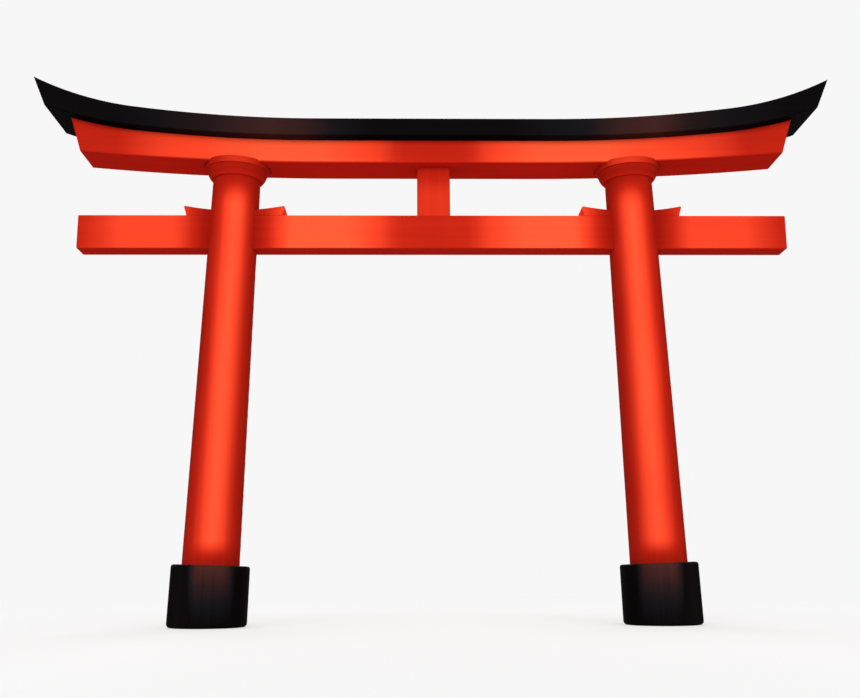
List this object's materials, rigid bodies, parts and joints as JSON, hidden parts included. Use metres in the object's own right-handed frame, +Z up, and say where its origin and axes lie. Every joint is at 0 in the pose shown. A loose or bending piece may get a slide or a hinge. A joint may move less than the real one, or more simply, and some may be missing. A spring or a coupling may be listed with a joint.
{
  "type": "timber torii gate",
  "caption": "Timber gate with leaning round pillars in black foot sleeves, a wedged tie beam and an upswept lintel in two layers, painted vermilion and black.",
  "frame": {"origin": "on the ground, midway between the pillars", "axes": "+X along the beams to the right, +Y through the passage to the rear, +Z up; the front faces -Y"},
  "size_m": [6.342, 0.5874, 4.2827],
  "materials": {
    "vermilion_timber": "cypress under matt vermilion paint",
    "black_timber": "cypress under satin black lacquer"
  },
  "bodies": {
    "root": {"left_pillar": "vermilion_timber", "right_pillar": "vermilion_timber", "left_capital_plate": "vermilion_timber", "right_capital_plate": "vermilion_timber", "left_capital_collar": "vermilion_timber", "right_capital_collar": "vermilion_timber", "left_outer_wedge": "vermilion_timber", "left_inner_wedge": "vermilion_timber", "right_outer_wedge": "vermilion_timber", "right_inner_wedge": "vermilion_timber", "tie_beam": "vermilion_timber", "strut": "vermilion_timber", "sublintel": "vermilion_timber", "cap_beam_front": "black_timber", "cap_beam_rear": "black_timber", "cap_ridge_left": "black_timber", "cap_ridge_middle": "black_timber", "cap_ridge_right": "black_timber", "left_foot_sleeve_front": "black_timber", "left_foot_sleeve_rear": "black_timber", "right_foot_sleeve_front": "black_timber", "right_foot_sleeve_rear": "black_timber"}
  },
  "joints": []
}
